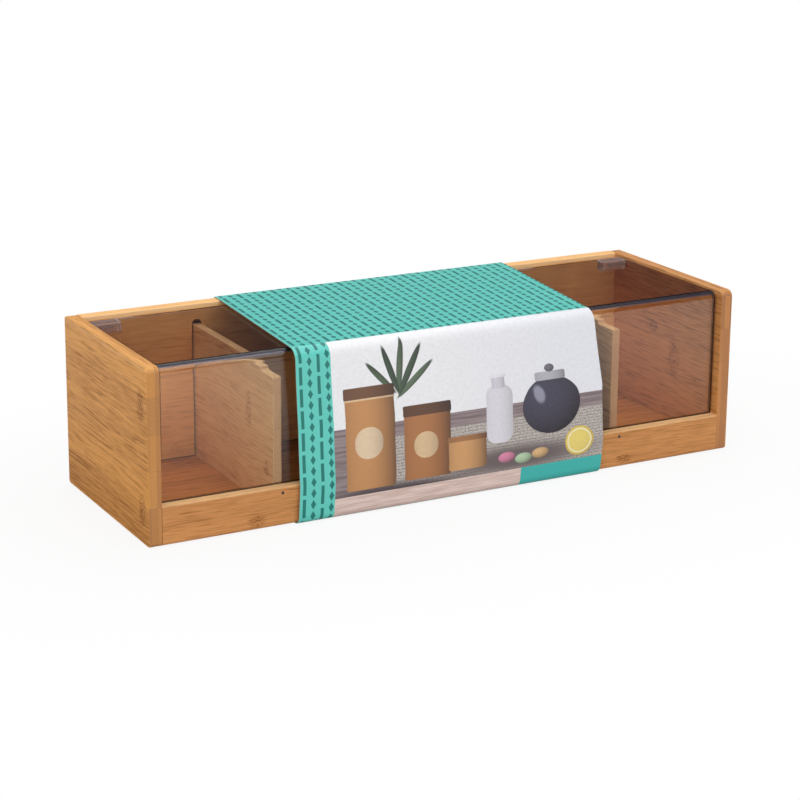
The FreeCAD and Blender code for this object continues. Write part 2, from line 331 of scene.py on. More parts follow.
# %% Cane nodes, and how dark a point is
# how much each kind of mark darkens the wood
LEAST_SHADE, PATCH_SHADE, STREAK_SHADE, THREAD_SHADE = 0.06, 0.12, 0.40, 0.34
BROAD_SHADE, STRIP_SHADE, GLUE_SHADE, KNOT_SHADE, FLECK_SHADE = 0.50, 0.30, 0.22, 0.18, 0.75
away = times(tree, off_middle(tree, slid, CANE_NODE_PITCH), CANE_NODE_PITCH)
near_node = times(tree, between(tree, away, CANE_NODE_REACH, 1.0), given["Cane Nodes"])
near_node = calc(tree, "MAXIMUM", near_node, given["Extra Node"])
fleck = between(tree, noise(tree, stretch(tree, spot, FLECKS), 2.0, 0.6, 0.8), 0.50, 0.66)
knot = times(tree, near_node, raised(tree, KNOT_SHADE, fleck, FLECK_SHADE))
fibres = plus(tree, raised(tree, LEAST_SHADE, patch, PATCH_SHADE), times(tree, streak, STREAK_SHADE),
              times(tree, thread, THREAD_SHADE), times(tree, broad, BROAD_SHADE))
own_shade = times(tree, minus(tree, pick[0], 0.5), STRIP_SHADE)
shade = plus(tree, times(tree, fibres, given["Fibre"]), own_shade)
shade = calc(tree, "ADD", shade, knot, clamp=True)
glue = between(tree, off_middle(tree, across, STRIP_WIDTH), 0.490, 0.499)
glue = times(tree, glue, GLUE_SHADE)
shade = calc(tree, "ADD", shade, glue, clamp=True)
print("a cane node every", CANE_NODE_PITCH, "mm, and a glue line every", STRIP_WIDTH, "mm")

# %% End grain, sanded edges and what the group puts out
# end grain shows the cut fibres as specks, block by block, between the plies' glue lines
END_SHADE, BLOCK_SHADE, SPECK_SHADE, PLY_SHADE = 0.26, 0.34, 0.22, 0.14
specks = noise(tree, stretch(tree, joined(tree, 0.0, across, through), SPECKS), 3.0, 0.7)
ply = between(tree, off_middle(tree, through, LAYER), 0.44, 0.49)
blocks = plus(tree, raised(tree, END_SHADE, pick[0], BLOCK_SHADE),
              times(tree, between(tree, specks, 0.35, 0.65), SPECK_SHADE), times(tree, ply, PLY_SHADE))
blocks = calc(tree, "ADD", blocks, glue, clamp=True)
shade = raised(tree, shade, given["End Grain"], minus(tree, blocks, shade))
# painted highlight on upper edges: it thins the fibres' shade and mixes in the paler colour
shade = times(tree, shade, raised(tree, 1.0, given["Edge"], -0.5))
light = mixed(tree, given["Edge"], given["Light"], HIGHLIGHT_BAMBOO)
dark = mixed(tree, given["End Grain"], given["Dark"], given["End"])
put(tree, result["Color"], mixed(tree, shade, light, dark))
put(tree, result["Height"], minus(tree, 1.0, plus(tree, times(tree, streak, 0.6), glue)))
put(tree, result["Roughness"], raised(tree, 0.42, streak, 0.12))
bamboo_group = tree
print("bamboo group:", len(tree.nodes), "nodes")

# %% [markdown]
# ## One finish for each way a board lies
# The grain runs the way the strips do: along the box on the back, rail and base, and front to rear
# on the end panels and dividers. One material for all would show the same board nine times over.
# So one function makes a material for each board: it turns the pattern the way the board lies,
# slides it, and gives it that board's own colours and cane nodes. Its upper edges and tops are
# painted paler, a painted highlight where the light from above falls.

# %% The bamboo finish
FIBRE_HEIGHT = 0.06         # of the bump, in mm
PALE_DEPTH = 2.3            # of the band painted paler below the top, a painted highlight, in mm
# the piece's axes that the grain, the strips and the layers follow: 0 is X, 1 is Y and 2 is Z
ALONG_THE_BOX, FRONT_TO_REAR, LYING_DOWN = (0, 2, 1), (1, 2, 0), (0, 1, 2)


def extra_nodes(tree, turned, marks):
    """Where a board has cane nodes of its own. A mark is its place along the grain and across the
    strips, its half length and its half width, in mm."""
    extra = 0.0
    for along, across, length, width in marks:
        shift = (-along / length, -across / width, 0)
        x, y = axes(tree, stretch(tree, turned, (1 / length, 1 / width, 0), shift))[:2]
        reach = calc(tree, "SQRT", plus(tree, times(tree, x, x), times(tree, y, y, y, y)))
        extra = calc(tree, "MAXIMUM", between(tree, reach, 1.0, 0.35), extra)
    return extra


def bamboo(name, lie, shift, seed, light, dark=DARK_BAMBOO, end=END_BAMBOO, fibre=1.0, fineness=1.0,
           figure=0.0, cane_nodes=1.0, marks=(), top=0.0, pale=0.0, crown=1.0, painted=None):
    """A bamboo finish. lie names the axes of the pattern, and shift and seed set it apart from other
    boards'. light, dark and end are its colours, the last one on cut ends. fibre is how strongly the
    fibres show, fineness makes them wider where it is below 1, and figure spreads them out as
    contours. cane_nodes is how strongly the regular ones show, and marks are more of them. pale is
    how strongly a band below the height top is painted paler, a painted highlight, and crown is the
    share of that on faces that look up. painted may change the colour by the point's place."""
    material, tree, shader = new_finish(name)
    place = here_mm(tree)
    turned = joined(tree, *[place[axis] for axis in lie])
    facing = axes(tree, here(tree, "Normal"))
    end_grain = between(tree, calc(tree, "ABSOLUTE", facing[lie[0]]), 0.6, 0.9)
    # a band below the top, and the faces that look up, are painted paler: a painted highlight
    highlight_band = between(tree, place[2], top - PALE_DEPTH - 0.3, top - PALE_DEPTH)
    looks_up = between(tree, facing[2], 0.5, 0.9)
    edge = times(tree, highlight_band, pale, raised(tree, 1.0, looks_up, crown - 1.0))
    look = placed(tree, bamboo_group, Place=stretch(tree, turned, (1, 1, 1), shift), Seed=seed,
                  Light=light, Dark=dark, End=end, Fibre=fibre, Fineness=fineness, Figure=figure,
                  Cane_Nodes=cane_nodes, Extra_Node=extra_nodes(tree, turned, marks),
                  End_Grain=end_grain, Edge=edge)
    colour = painted(tree, place, look["Color"]) if painted else look["Color"]
    put(tree, shader["Base Color"], colour)
    put(tree, shader["Roughness"], look["Roughness"])
    bump = tree.nodes.new("ShaderNodeBump")
    bump.inputs["Strength"].default_value = 0.25
    bump.inputs["Distance"].default_value = FIBRE_HEIGHT * MM
    put(tree, bump.inputs["Height"], look["Height"])
    put(tree, shader["Normal"], bump.outputs["Normal"])
    shader["Specular IOR Level"].default_value = 0.12
    return material


def top_of(name):
    """The height of a piece's top, in mm."""
    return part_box(name)[1].z / MM


rim = top_of("back_panel")
print("the box's rim is", round(rim, 1), "mm high")

# %% Bamboo on the ends, the rail and the base
RAIL_PALE_ABOVE = 1.7       # how much higher the rail's painted highlight starts, on its rounded top, in mm
cover("left_end_panel", bamboo(
    "bamboo_left_end", FRONT_TO_REAR, shift=(0, -2, 0), seed=1.0, light=tint(231, 164, 86),
    dark=tint(142, 82, 32), cane_nodes=0.0, marks=[(-51, 76, 6, 10), (-51, 19, 6, 10)], top=rim,
    pale=0.15))
cover("right_end_panel", bamboo(
    "bamboo_right_end", FRONT_TO_REAR, shift=(0, 5, 0), seed=5.0, light=tint(220, 152, 90),
    fineness=0.5, cane_nodes=0.0, marks=[(-13, 44.5, 8, 13), (9.5, 60.7, 6, 5)], top=rim, pale=0.15))
cover("front_rail", bamboo(
    "bamboo_rail", ALONG_THE_BOX, shift=(0, 9, 0), seed=3.0, light=tint(223, 159, 99), fibre=0.8,
    cane_nodes=0.0, marks=[(-123, 5, 7, 4), (112, 5, 7, 3)],
    top=top_of("front_rail") + RAIL_PALE_ABOVE, pale=0.6))
cover("base_panel", bamboo(
    "bamboo_base", LYING_DOWN, shift=(0, 4, 0), seed=4.0, light=tint(206, 133, 66),
    dark=tint(124, 70, 30), fineness=0.6))
print("bamboo on the ends, the rail and the base")

# %% Bamboo on the back panel, with painted shade in its gaps
GAP = 0.9                   # height of the gap over the base panel, in mm
GROOVE_DEPTH = 2.5          # of the dividers' grooves, in mm
GROOVE_BELOW_RIM = 4.1
back_face, base_top = in_mm(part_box("back_panel"))[0].y, top_of("base_panel")


def painted_gap_shade(tree, place, colour):
    """Paints the gap over the base panel and the inside of the dividers' grooves dark: painted shade."""
    y, z = place[1], place[2]
    # the gap shows on the front face only, and the grooves only behind it
    off = calc(tree, "ABSOLUTE", minus(tree, z, base_top + GAP / 2))
    gap = times(tree, under(tree, off, GAP / 2, 0.1), under(tree, y, back_face + 0.9, 0.1))
    # painted shade in the gap over the base panel, and below in the dividers' grooves
    colour = mixed(tree, times(tree, gap, 0.75), colour, tint(46, 24, 14))
    in_groove = times(tree, past(tree, y, back_face + 0.5, 0.3),
                      under(tree, y, back_face + GROOVE_DEPTH + 0.45, 0.15),
                      past(tree, z, base_top + 0.1, 0.1), under(tree, z, rim - GROOVE_BELOW_RIM, 0.1))
    return mixed(tree, times(tree, in_groove, 0.9), colour, tint(30, 16, 10))


cover("back_panel", bamboo(
    "bamboo_back", ALONG_THE_BOX, shift=(0, 3, 0), seed=2.0, light=tint(252, 192, 122),
    dark=tint(168, 108, 62), fibre=0.65, fineness=0.8, cane_nodes=0.3, top=rim, pale=0.95, crown=0.3,
    painted=painted_gap_shade))
print("bamboo on the back, whose front face is at Y", round(back_face, 1), "mm")

# %% Bamboo on the dividers
FIRST_DIVIDER_NODES = [(-21.2, 56.3, 5, 12), (-43.6, 28.6, 4, 5)]
PALE_BOARD = {"light": tint(255, 216, 156), "dark": tint(180, 112, 72), "fibre": 0.72}
# divider 4 gets the darker board below: painted shade, where the sleeve shades it
SHADED_BOARD = {"light": tint(232, 180, 124), "dark": tint(176, 116, 74), "fibre": 1.0}
for number in (1, 2, 3, 4):
    name = f"divider_{number}"
    board = SHADED_BOARD if number == 4 else PALE_BOARD
    own = {"cane_nodes": 0.0, "marks": FIRST_DIVIDER_NODES} if number == 1 else {}
    cover(name, bamboo(
        f"bamboo_{name}", FRONT_TO_REAR, shift=(40.0 * number, 7, 1.2 * number), seed=6.0 + number,
        end=tint(198, 138, 106), fineness=0.5, figure=22.0, top=top_of(name), pale=0.1, **board, **own))
print("bamboo on the dividers")

# %% [markdown]
# ## Steel and dowels
# Brads hold the rail to the dividers, and two short pins carry the lid. All of them are drawn steel
# wire, which keeps fine scratches along its length. Beech dowels hold the corners, out of sight. A
# noise that is stretched far along the wire gives both their grain, and is cheaper than any shape.

# %% Steel and beech
def steel(name, colour, roughness):
    """Drawn steel, with fine scratches along the wire."""
    material, tree, shader = new_finish(name)
    scratch = noise(tree, stretch(tree, here(tree), (600, 9000, 9000)), 2.0)
    put(tree, shader["Base Color"], mixed(tree, scratch, colour, tint(90, 88, 86)))
    put(tree, shader["Roughness"], raised(tree, roughness, scratch, 0.2))
    shader["Metallic"].default_value = 1.0
    return material


def beech():
    """Turned beech, with its short dark flecks."""
    material, tree, shader = new_finish("beech")
    fleck = between(tree, noise(tree, stretch(tree, here(tree), (150, 2600, 2600)), 2.0), 0.55, 0.7)
    put(tree, shader["Base Color"], mixed(tree, fleck, tint(214, 180, 140), tint(176, 134, 94)))
    shader["Roughness"].default_value = 0.6
    return material


cover("divider_brads", steel("brad_steel", tint(120, 112, 104), 0.4))
pin_steel = steel("pin_steel", tint(205, 205, 208), 0.25)
dowel_beech = beech()
for side in ("left", "right"):
    cover(f"hinge_pin_{side}", pin_steel)
    cover(f"{side}_dowels", dowel_beech)
print("fittings covered")

# %% [markdown]
# ## Acrylic
# The lid is a see-through sheet with a faint grey-brown smoke tint, and the hinge blocks under its
# rear corners are a clear plastic with frosted edges. A mix with plain transparency would look like
# film. Full transmission bends light as a thick sheet does. Its shadow would be solid, so a
# Transparent shader takes its place for rays that go to a lamp, and light falls through the lid onto
# the dividers.

# %% The acrylic shader
ACRYLIC_IOR = 1.49


def acrylic(name, passed, clearness):
    """A polished see-through plastic: the material, its tree and the shader's inputs. passed is what
    each face lets through to a lamp, and clearness how much of the light goes into the plastic."""
    material, tree, shader = new_finish(name)
    shader["Transmission Weight"].default_value = clearness
    shader["IOR"].default_value = ACRYLIC_IOR
    clear = tree.nodes.new("ShaderNodeBsdfTransparent")
    clear.inputs["Color"].default_value = passed
    path = tree.nodes.new("ShaderNodeLightPath")
    choice = tree.nodes.new("ShaderNodeMixShader")
    put(tree, choice.inputs[0], path.outputs["Is Shadow Ray"])
    put(tree, choice.inputs[1], tree.nodes["Principled BSDF"].outputs[0])
    put(tree, choice.inputs[2], clear.outputs[0])
    put(tree, tree.nodes["Material Output"].inputs["Surface"], choice.outputs[0])
    return material, tree, shader


print("acrylic bends light by an index of", ACRYLIC_IOR)

# %% [markdown]
# ## The lid
# Smoked plastic looks darkest where light runs a long way through it: at the bend along the front
# and along its cut edges. There the sheet also turns light away inside it, and the bend mirrors the
# dim room. A volume of smoke inside would show the first by itself, but it is slow. So masks paint
# those lines, about a millimetre wide, partly the smoke's own darkness and partly painted shade and
# painted reflection, at the places where the CAD model has the bend and the edges.

# %% The lid's smoked acrylic
LID_BEND = 5.0              # outer radius of the lid's bend, in mm
LID_SMOKE, SHADED_LID_TOP, LID_PAINTED_SHADE = tint(238, 238, 233), tint(226, 219, 216), tint(56, 52, 68)
LEFT_LINE, RIGHT_LINE, LOWER_LINE = 1.0, 1.5, 0.7       # widths of the dark edges, in mm
LEFT_LINE_FROM = 50.0       # height at which the left one starts, in mm
SOFT_LINE = 0.2             # of a dark line's border, in mm
lid_low, lid_high = in_mm(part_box("lid_panel"))
bend_y, bend_z = lid_low.y + LID_BEND, lid_high.z - LID_BEND


def painted_bend_shade(tree, y, z):
    """The painted shade and reflection along the bend, first as it is and then faded towards its top."""
    line = times(tree, under(tree, y, bend_y - 1.2, SOFT_LINE), past(tree, z, bend_z + 3.35, 0.25))
    return line, times(tree, line, raised(tree, 1.0, past(tree, z, bend_z + 4.3, SOFT_LINE), -0.5))


def painted_edge_shade(tree, x, y, z):
    """The painted shade along the front's left, right and lower edges."""
    left = times(tree, under(tree, x, lid_low.x + LEFT_LINE, SOFT_LINE),
                 past(tree, z, LEFT_LINE_FROM, 10.0))
    right = past(tree, x, lid_high.x - RIGHT_LINE, SOFT_LINE)
    sides = times(tree, calc(tree, "MAXIMUM", left, right), under(tree, y, bend_y + 2.0, 2.0))
    return calc(tree, "MAXIMUM", sides, under(tree, z, lid_low.z + LOWER_LINE, SOFT_LINE))


def smoked_acrylic():
    """The lid's sheet, tinted a little darker on top than in front: painted shade for what shows through
    the top.
    """
    material, tree, shader = acrylic("smoked_acrylic", tint(252, 252, 250), 1.0)
    x, y, z = here_mm(tree)
    line, bend = painted_bend_shade(tree, y, z)
    # the bend and the cut edges are painted dark: painted shade and painted reflection
    dark = calc(tree, "MAXIMUM", bend, times(tree, painted_edge_shade(tree, x, y, z), 0.85))
    # the top is tinted darker than the front: painted shade
    sheet = mixed(tree, past(tree, y, bend_y + 0.5, 0.5), LID_SMOKE, SHADED_LID_TOP)
    put(tree, shader["Base Color"], mixed(tree, dark, sheet, LID_PAINTED_SHADE))
    put(tree, shader["Roughness"], times(tree, line, 0.3))
    return material


cover("lid_panel", smoked_acrylic())
print("the lid bends at Y", round(bend_y, 1), "mm, Z", round(bend_z, 1), "mm")

# %% The hinge blocks' clear plastic
def clear_acrylic(name, low, high):
    """A block between two corners, in mm, with frosted edges and a slightly cloudy surface."""
    material, tree, shader = acrylic(name, tint(240, 236, 236), 0.7)
    place = here_mm(tree)
    near = 0.0
    for axis in range(3):
        away = calc(tree, "MINIMUM", minus(tree, place[axis], low[axis]),
                    minus(tree, high[axis], place[axis]))
        near = plus(tree, near, between(tree, away, 1.0, 0.4))
    # near is 2 where two faces meet, and 3 at a corner
    frost = between(tree, near, 1.2, 1.9)
    put(tree, shader["Base Color"], mixed(tree, frost, tint(224, 200, 190), tint(255, 250, 252)))
    cloud = between(tree, noise(tree, stretch(tree, here(tree), (60, 60, 60)), 2.0), 0.45, 0.75)
    put(tree, shader["Roughness"], times(tree, cloud, 0.3))
    return material


for side in ("left", "right"):
    name = f"hinge_block_{side}"
    low, high = in_mm(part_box(name))
    cover(name, clear_acrylic(f"clear_acrylic_{side}", low, high))
print("a hinge block is", [round(size, 1) for size in high - low], "mm")

# %% [markdown]
# ## The sleeve's print
# The card carries its print in its own flat layout, as a printer sets it out before the card is
# folded. So the finish reads the UV map, in millimetres: U from the left edge of the card, and V from
# the front fold, up over the top and down the front. The top and a strip down the left are turquoise
# with columns of thin dashes and lozenges. Each point works out how far it is from the middle of its
# own cell of the pattern, which repeats a shape without drawing it many times.

# %% Dashes and lozenges
COLUMN_PITCH = 5.4          # of the columns, in mm
DASH_PITCH, DASH_LENGTH, DASH_WIDTH = 12.4, 10.2, 1.9
LOZENGE_PITCH, LOZENGE_LENGTH, LOZENGE_WIDTH = 6.2, 5.4, 3.1
STAGGER = 0.25              # from one column to the next, as a share of the pitch along them
SOFT_DASH = 0.1             # of a dash's border, in mm

tree, given, result = effect("dashes", [("Place", "NodeSocketVector", None)], [("Mask", "NodeSocketFloat")])
across, along = axes(tree, given["Place"])[:2]
off = times(tree, off_middle(tree, across, COLUMN_PITCH), COLUMN_PITCH)
column = calc(tree, "FLOOR", calc(tree, "DIVIDE", across, COLUMN_PITCH))
# the columns take turns in rounds of four, and 100 only keeps the count above 0
column = calc(tree, "MODULO", plus(tree, column, 100.0), 4.0)
odd = calc(tree, "MODULO", column, 2.0)


def from_row(pitch):
    """How far along its column a point is from the middle of its row, in mm."""
    return times(tree, off_middle(tree, raised(tree, along, column, STAGGER * pitch), pitch), pitch)


dash = times(tree, under(tree, off, DASH_WIDTH / 2, SOFT_DASH),
             under(tree, from_row(DASH_PITCH), DASH_LENGTH / 2, SOFT_DASH))
slope = plus(tree, calc(tree, "DIVIDE", off, LOZENGE_WIDTH / 2),
             calc(tree, "DIVIDE", from_row(LOZENGE_PITCH), LOZENGE_LENGTH / 2))
put(tree, result["Mask"], mixed(tree, odd, dash, under(tree, slope, 1.0, 0.08)))
dash_group = tree
print("columns of dashes and lozenges,", COLUMN_PITCH, "mm apart")

# %% [markdown]
# ## The still life
# The front shows tins, a vase, a jar and half a lemon on a table. A picture file could hold that, but
# it would have to travel with the part, and would blur close up. So it is painted shape by shape,
# each one over what lies behind it, as with gouache. Two groups do it all, an oval and a block with
# round corners. Both darken away from their upper left, so they look round although they are flat.

# %% Shapes of the still life
def painting_group(name):
    """A group that paints one shape over a picture: its tree, inputs, outputs, place and half size."""
    tree, given, result = effect(name, [
        ("Under", "NodeSocketColor", (1, 1, 1, 1)), ("Paint", "NodeSocketColor", (1, 1, 1, 1)),
        ("Place", "NodeSocketVector", None), ("Half Size", "NodeSocketVector", None),
        ("Soft", "NodeSocketFloat", 0.12), ("Roundness", "NodeSocketFloat", 0.0)],
        [("Color", "NodeSocketColor")])
    return tree, given, result, axes(tree, given["Place"]), axes(tree, given["Half Size"])


def paint(tree, given, result, away, dusk):
    """Ends a painting group. away is how far outside the shape a point is, and dusk grows towards the
    shape's dark side."""
    mask = under(tree, calc(tree, "DIVIDE", away, given["Soft"]), 0.0, 1.0)
    dusk = calc(tree, "MULTIPLY", times(tree, dusk, dusk), given["Roundness"], clamp=True)
    shaded = mixed(tree, dusk, given["Paint"], tint(30, 22, 26))
    put(tree, result["Color"], mixed(tree, mask, given["Under"], shaded))


tree, given, result, off, size = painting_group("printed_oval")
x, y = [calc(tree, "DIVIDE", off[i], size[i]) for i in (0, 1)]
outside = times(tree, minus(tree, far(tree, x, y), 1.0), size[1])
paint(tree, given, result, outside, far(tree, plus(tree, x, 0.35), minus(tree, y, 0.4)))
oval_group = tree

tree, given, result, off, size = painting_group("printed_block")
beyond = [plus(tree, minus(tree, calc(tree, "ABSOLUTE", off[i]), size[i]), size[2]) for i in (0, 1)]
x, y = [calc(tree, "MAXIMUM", value, 0.0) for value in beyond]
outside = minus(tree, far(tree, x, y), size[2])
paint(tree, given, result, outside, plus(tree, calc(tree, "DIVIDE", off[0], size[0]), 0.3))
block_group = tree
print("shape groups:", oval_group.name, "and", block_group.name)

# %% Where the shapes stand
OVAL, BLOCK = oval_group, block_group
# each shape: kind; centre U and V, half width, half height, corner radius, turn in degrees; colour;
# how round it is shaded; how soft its edge is
STILL_LIFE = [
    (OVAL, (60, -92, 46, 5, 0, 0), (84, 72, 76), 0, 3.0),                   # shadows on the table
    (OVAL, (136, -84, 44, 7, 0, 0), (110, 98, 98), 0, 4.0),
    (OVAL, (72, -29, 15, 1.9, 0, 40), (98, 120, 94), 0.3, 0.2),             # leaves behind the tins
    (OVAL, (69, -23, 16, 2.1, 0, 62), (74, 92, 74), 0.3, 0.2),
    (OVAL, (63, -20, 16, 2.0, 0, 84), (92, 112, 88), 0.3, 0.2),
    (OVAL, (57, -22, 15, 1.9, 0, 108), (66, 84, 66), 0.3, 0.2),
    (OVAL, (51, -26, 13, 1.8, 0, 132), (86, 104, 80), 0.3, 0.2),
    (BLOCK, (43, -60, 15, 28, 1.5, 0), (204, 146, 92), 0.42, 0.15),         # two tins and a round box
    (BLOCK, (43, -33, 15.6, 3.4, 1.0, 0), (120, 84, 60), 0.42, 0.15),
    (BLOCK, (43, -36.8, 15.6, 0.5, 0.4, 0), (232, 200, 160), 0.2, 0.15),
    (BLOCK, (42, -62, 8.5, 9, 8, 0), (232, 206, 172), 0.2, 0.15),
    (BLOCK, (78, -67, 14.5, 20, 1.5, 0), (182, 122, 74), 0.42, 0.15),
    (BLOCK, (78, -47.5, 15, 3.2, 1.0, 0), (104, 72, 52), 0.42, 0.15),
    (BLOCK, (77, -68, 7.5, 7.5, 7, 0), (224, 192, 150), 0.2, 0.15),
    (BLOCK, (103, -77, 12, 9, 2.0, 0), (214, 160, 104), 0.42, 0.15),
    (BLOCK, (103, -68, 12.5, 1.6, 0.8, 0), (170, 118, 74), 0.42, 0.15),
    (BLOCK, (124, -57, 8.5, 17, 6, 0), (226, 222, 230), 0.16, 0.2),         # white vase
    (BLOCK, (124, -38, 4.2, 4, 1.0, 0), (214, 210, 220), 0.2, 0.2),
    (BLOCK, (124, -34.6, 5.4, 0.9, 0.8, 0), (238, 236, 242), 0.1, 0.2),
    (OVAL, (158, -56, 19, 17, 0, 0), (72, 70, 88), 0.40, 0.2),              # round dark jar
    (BLOCK, (158, -38.6, 10, 2.6, 1.2, 0), (186, 184, 192), 0.3, 0.15),
    (OVAL, (158, -34, 3.2, 2.4, 0, 0), (120, 118, 126), 0.3, 0.15),
    (OVAL, (150, -49, 3.2, 5.5, 0, 24), (150, 150, 168), 0, 1.6),
    (OVAL, (176, -80, 9.5, 8.6, 0, 0), (232, 198, 84), 0.1, 0.15),          # lemon half
    (OVAL, (176, -80, 8.2, 7.4, 0, 0), (250, 240, 196), 0, 0.3),
    (OVAL, (176, -80, 7.2, 6.4, 0, 0), (242, 218, 118), 0.05, 0.3),
    (OVAL, (128, -83, 5.5, 3.0, 0, 0), (226, 140, 172), 0.3, 0.15),         # biscuits
    (OVAL, (139, -85, 5.5, 3.0, 0, 0), (188, 214, 176), 0.3, 0.15),
    (OVAL, (150, -83.5, 5.5, 3.0, 0, 0), (226, 184, 132), 0.3, 0.15),
]
print("still life of", len(STILL_LIFE), "shapes")

# %% The card's fields
CARD_WIDTH = 192.0          # of the flat card, in mm, as all that follow
SIDE_STRIP = 21.0           # turquoise strip down the left of the front
TABLE_TOP = -52.1           # from the front fold
BAND_TOP = -90.6            # of the band along the bottom, from the front fold
TEAL_LEFT = 138.0           # teal block at the right end of the band
RUNNER_LEFT, RUNNER_TOP, RUNNER_SLANT = -9.5, -60.5, 0.75     # its left edge is slanted
SOFT_FIELD, SOFT_RUNNER = 0.12, 0.5     # of a field's border and of the runner's


def woven(tree, flat):
    """The table's runner: a coarse weave of pale and dark threads."""
    weave = noise(tree, stretch(tree, flat, (0.9, 1.4, 1)), 2.0, 0.8)
    rows = calc(tree, "SINE", times(tree, axes(tree, flat)[1], 3.6))
    weave = raised(tree, weave, rows, 0.05)
    return mixed(tree, between(tree, weave, 0.38, 0.66), tint(206, 198, 190), tint(132, 122, 118))


def wall_and_table(tree, flat, u, v):
    """What the shapes stand on and before: a pale wall, and a grey table with a runner."""
    wall = mixed(tree, between(tree, u, 60, 190), tint(245, 245, 248), tint(236, 237, 243))
    boards = between(tree, noise(tree, stretch(tree, flat, (0.03, 0.6, 1)), 3.0), 0.35, 0.65)
    table = mixed(tree, boards, tint(158, 142, 142), tint(122, 106, 110))
    slanted = raised(tree, u, v, RUNNER_SLANT)
    runner = times(tree, past(tree, slanted, RUNNER_LEFT, SOFT_RUNNER),
                   under(tree, v, RUNNER_TOP, SOFT_RUNNER))
    table = mixed(tree, runner, table, woven(tree, flat))
    return mixed(tree, under(tree, v, TABLE_TOP, SOFT_FIELD), wall, table)


def lower_band(tree, flat, u):
    """The marbled band along the bottom, with a teal block at its right end."""
    wavy = noise(tree, stretch(tree, flat, (0.045, 0.9, 1)), 3.0, 0.65, 0.6)
    band = mixed(tree, between(tree, wavy, 0.3, 0.7), tint(234, 212, 203), tint(206, 178, 168))
    return mixed(tree, past(tree, u, TEAL_LEFT, SOFT_FIELD), band, tint(64, 183, 176))


def still_life(tree, flat, picture):
    """Paints the shapes over a picture, one after the other."""
    for group, (x, y, half_x, half_y, corner, turn), colour, roundness, soft in STILL_LIFE:
        spin = tree.nodes.new("ShaderNodeMapping")
        spin.vector_type = "TEXTURE"
        spin.inputs["Location"].default_value = (x, y, 0)
        spin.inputs["Rotation"].default_value = (0, 0, math.radians(turn))
        put(tree, spin.inputs["Vector"], flat)
        picture = placed(tree, group, Under=picture, Paint=tint(*colour), Place=spin.outputs[0],
                         Half_Size=(half_x, half_y, corner), Soft=soft, Roundness=roundness)["Color"]
    return picture


print("the flat card is", CARD_WIDTH, "mm wide")

# %% The printed card, its inside and its cut edges
def printed_card():
    """The card's outer face: the picture on the front, and turquoise all round it."""
    material, tree, shader = new_finish("printed_card")
    flat = here(tree, "UV")
    u, v = axes(tree, flat)[:2]
    dashes = placed(tree, dash_group, Place=flat)["Mask"]
    turquoise = mixed(tree, dashes, tint(99, 207, 194), tint(28, 124, 115))
    picture = still_life(tree, flat, wall_and_table(tree, flat, u, v))
    grain = between(tree, noise(tree, stretch(tree, flat, (0.5, 0.5, 1)), 4.0, 0.7), 0.3, 0.7)
    picture = mixed(tree, times(tree, grain, 0.10), picture, tint(120, 110, 120))
    picture = mixed(tree, under(tree, v, BAND_TOP, SOFT_FIELD), picture, lower_band(tree, flat, u))
    front = times(tree, past(tree, u, SIDE_STRIP, SOFT_FIELD), under(tree, v, 0.0, SOFT_FIELD))
    put(tree, shader["Base Color"], mixed(tree, front, turquoise, picture))
    shader["Roughness"].default_value = 0.32
    return material


def bare_card(name, colour):
    """The unprinted board, with its short paper fibres."""
    material, tree, shader = new_finish(name)
    fleck = between(tree, noise(tree, stretch(tree, here(tree), (900, 900, 900)), 3.0), 0.4, 0.7)
    put(tree, shader["Base Color"], mixed(tree, fleck, colour, tint(178, 172, 164)))
    shader["Roughness"].default_value = 0.85
    return material


card_finishes = [printed_card(), bare_card("card_inside", tint(205, 200, 192)),
                 bare_card("card_edge", tint(176, 186, 180))]
print("card finishes:", [finish.name for finish in card_finishes])

# %% [markdown]
# ## Bending the card
# The sleeve is one strip of thin board, folded round the box. It could be joined from flat plates,
# but then the print would have to be fitted to each plate. So it is bent from a flat strip, as a box
# maker would: one vertex is drawn out into straight runs and spun round the folds, the line is drawn
# out along the box, and Solidify gives the card its thickness. Each vertex remembers how far along
# the card it lies, which becomes its UV. The front bows in a little, and the sleeve sits askew, so
# its left and right edge are given at six places round the box.

# %% Sizes of the sleeve, in mm
CARD = 0.45
FOLD, LOW_FOLD, REAR_FOLD = 6.0, 4.45, 1.2
HOLLOW = 600.0              # radius of the front's inward bow
# the left and the right edge along the box, where the card passes each place
EDGE_REAR_TOP, EDGE_FRONT_TOP = (-94.0, 98.0), (-102.0, 85.0)
EDGE_MIDDLE, EDGE_LOW = (-99.3, 94.0), (-98.5, 95.5)
EDGE_BOTTOM, EDGE_REAR_BOTTOM = (-100.0, 93.0), (-96.0, 97.0)
MIDDLE_HEIGHT, LOW_HEIGHT = 54.0, 20.0      # of EDGE_MIDDLE and EDGE_LOW, down the front

front_low, front_high = in_mm(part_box("sleeve_front"))
crease_low, crease_high = in_mm(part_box("sleeve_crease"))
TOP, FRONT, REAR = front_high.z, front_low.y, in_mm(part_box("sleeve_rear"))[1].y
print("the sleeve stands", round(TOP, 2), "mm high, and is", round(REAR - FRONT, 2), "mm deep")

# %% The front's inward bow
fold = Vector((0, FRONT + FOLD, TOP - FOLD))
low_fold = Vector((0, FRONT + LOW_FOLD, LOW_FOLD))
# the bow meets both folds smoothly, so its centre is HOLLOW and the fold's own radius away from each
from_fold, from_low_fold = HOLLOW + FOLD, HOLLOW + LOW_FOLD
apart = low_fold - fold
along = (from_fold ** 2 - from_low_fold ** 2 + apart.length ** 2) / (2 * apart.length)
down = apart.normalized()
outwards = Vector((0, down.z, -down.y))
bow = fold + down * along + outwards * math.sqrt(from_fold ** 2 - along ** 2)
print("front face bows in about", round(bow.y + HOLLOW - FRONT, 2), "mm")

# %% Drawing a line of card
TO_FRONT, TO_REAR = -1, 1


